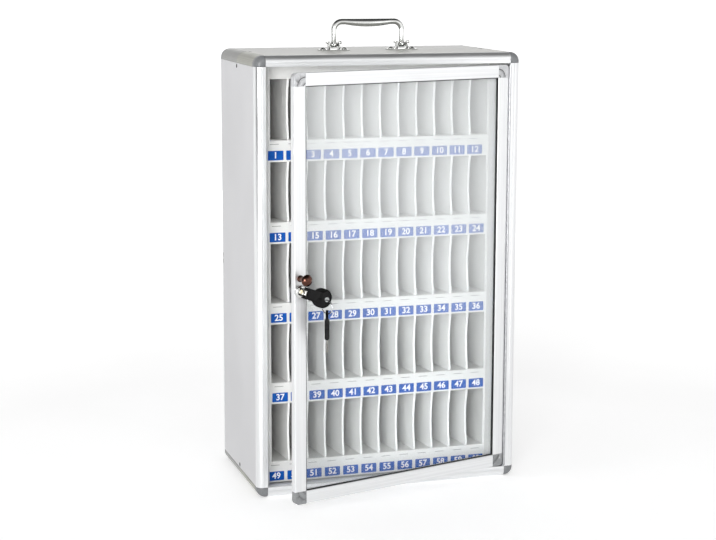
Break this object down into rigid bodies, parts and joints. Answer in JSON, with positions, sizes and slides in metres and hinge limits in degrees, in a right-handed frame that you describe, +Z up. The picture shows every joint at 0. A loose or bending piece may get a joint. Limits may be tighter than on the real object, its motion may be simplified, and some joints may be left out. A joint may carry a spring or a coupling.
{
  "type": "cell phone locker box",
  "caption": "Lockable case with rows of numbered phone slots behind a hinged clear door, carrying handle, pull knob and cam lock with folding keys.",
  "frame": {"origin": "middle of the outer face of the bottom panel", "axes": "+X to the right as the user faces the door, +Y towards the back, +Z up; the door is modelled 15.5 degrees open"},
  "size_m": [0.356, 0.3072, 0.6114],
  "materials": {
    "edge_profile": "satin",
    "depth_profile": "satin",
    "corner_cap": "moulded satin",
    "case_panel": "laminated matt",
    "tray_white": "matt white",
    "window": "clear acrylic",
    "seal": "matt black",
    "hinge_metal": "brushed",
    "fastener_steel": "zinc plated",
    "handle_chrome": "polished",
    "lock_chrome": "polished",
    "plug_brass": "satin",
    "knob_dark": "dark mirror",
    "key_steel": "nickel plated",
    "key_plastic": "gloss black"
  },
  "bodies": {
    "cabinet": {"front_edge_top": "edge_profile", "rear_edge_top": "edge_profile", "front_edge_bottom": "edge_profile", "rear_edge_bottom": "edge_profile", "front_edge_left": "edge_profile", "rear_edge_left": "edge_profile", "front_edge_right": "edge_profile", "rear_edge_right": "edge_profile", "long_edge_bottom_left": "depth_profile", "long_edge_bottom_right": "depth_profile", "long_edge_top_left": "depth_profile", "long_edge_top_right": "depth_profile", "front_corner_caps": "corner_cap", "rear_corner_caps": "corner_cap", "side_panel_left": "case_panel", "side_panel_right": "case_panel", "top_panel": "case_panel", "bottom_panel": "case_panel", "back_panel": "case_panel", "edge_screws": "fastener_steel", "tray_side_left": "tray_white", "tray_side_right": "tray_white", "tray_surround_left": "tray_white", "tray_surround_right": "tray_white", "tray_header": "tray_white", "shelf_1": "tray_white", "dividers_row_1": "tray_white", "shelf_2": "tray_white", "dividers_row_2": "tray_white", "shelf_3": "tray_white", "dividers_row_3": "tray_white", "shelf_4": "tray_white", "dividers_row_4": "tray_white", "shelf_5": "tray_white", "dividers_row_5": "tray_white", "hinge_leaf_frame": "hinge_metal", "hinge_pin": "hinge_metal", "handle_brackets": "handle_chrome", "handle_rivets": "handle_chrome"},
    "door": {"door_stile_free": "edge_profile", "door_stile_hinge": "edge_profile", "door_rail_bottom": "edge_profile", "door_rail_top": "edge_profile", "door_corners": "corner_cap", "door_window": "window", "window_seal": "seal", "hinge_leaf_door": "hinge_metal", "lock_body": "lock_chrome", "lock_nut": "fastener_steel", "pull_knob": "knob_dark", "knob_screw": "fastener_steel"},
    "handle": {"bail_handle": "handle_chrome"},
    "lock_rotor": {"lock_plug": "plug_brass", "lock_cam": "fastener_steel", "cam_screw": "fastener_steel"},
    "key": {"key_blade": "key_steel"},
    "key_head": {"key_bow": "key_plastic"},
    "ring": {"key_ring": "key_steel"},
    "spare_key": {"spare_key_blade": "key_steel", "spare_key_bow": "key_plastic"}
  },
  "joints": [
    {"name": "door_hinge", "type": "hinge", "parent": "cabinet", "child": "door", "pos_m": [0.163, -0.09885, 0.285], "axis": [0, 0, 1], "range_deg": [-15.5, 150]},
    {"name": "handle_pivot", "type": "hinge", "parent": "cabinet", "child": "handle", "pos_m": [0, 0, 0.5774], "axis": [1, 0, 0], "range_deg": [-90, 90]},
    {"name": "lock_turn", "type": "hinge", "parent": "door", "child": "lock_rotor", "pos_m": [-0.14404, -0.1826, 0.287], "axis": [-0.2672, 0.9636, 0], "range_deg": [-20, 70]},
    {"name": "key_slide", "type": "slide", "parent": "lock_rotor", "child": "key", "axis": [0.2672, -0.9636, 0], "range_m": [0, 0.016]},
    {"name": "key_fold", "type": "hinge", "parent": "key", "child": "key_head", "pos_m": [-0.14056, -0.19512, 0.287], "axis": [0.3296, 0.0914, 0.9397], "range_deg": [-70, 20]},
    {"name": "ring_swing", "type": "hinge", "parent": "key_head", "child": "ring", "pos_m": [-0.11418, -0.19775, 0.27735], "axis": [-0.059, -0.9983, 0], "range_deg": [-18, 30]},
    {"name": "spare_key_swing", "type": "hinge", "parent": "ring", "child": "spare_key", "pos_m": [-0.11418, -0.19775, 0.26035], "axis": [0.9563, -0.2924, 0], "range_deg": [-30, 30]}
  ]
}
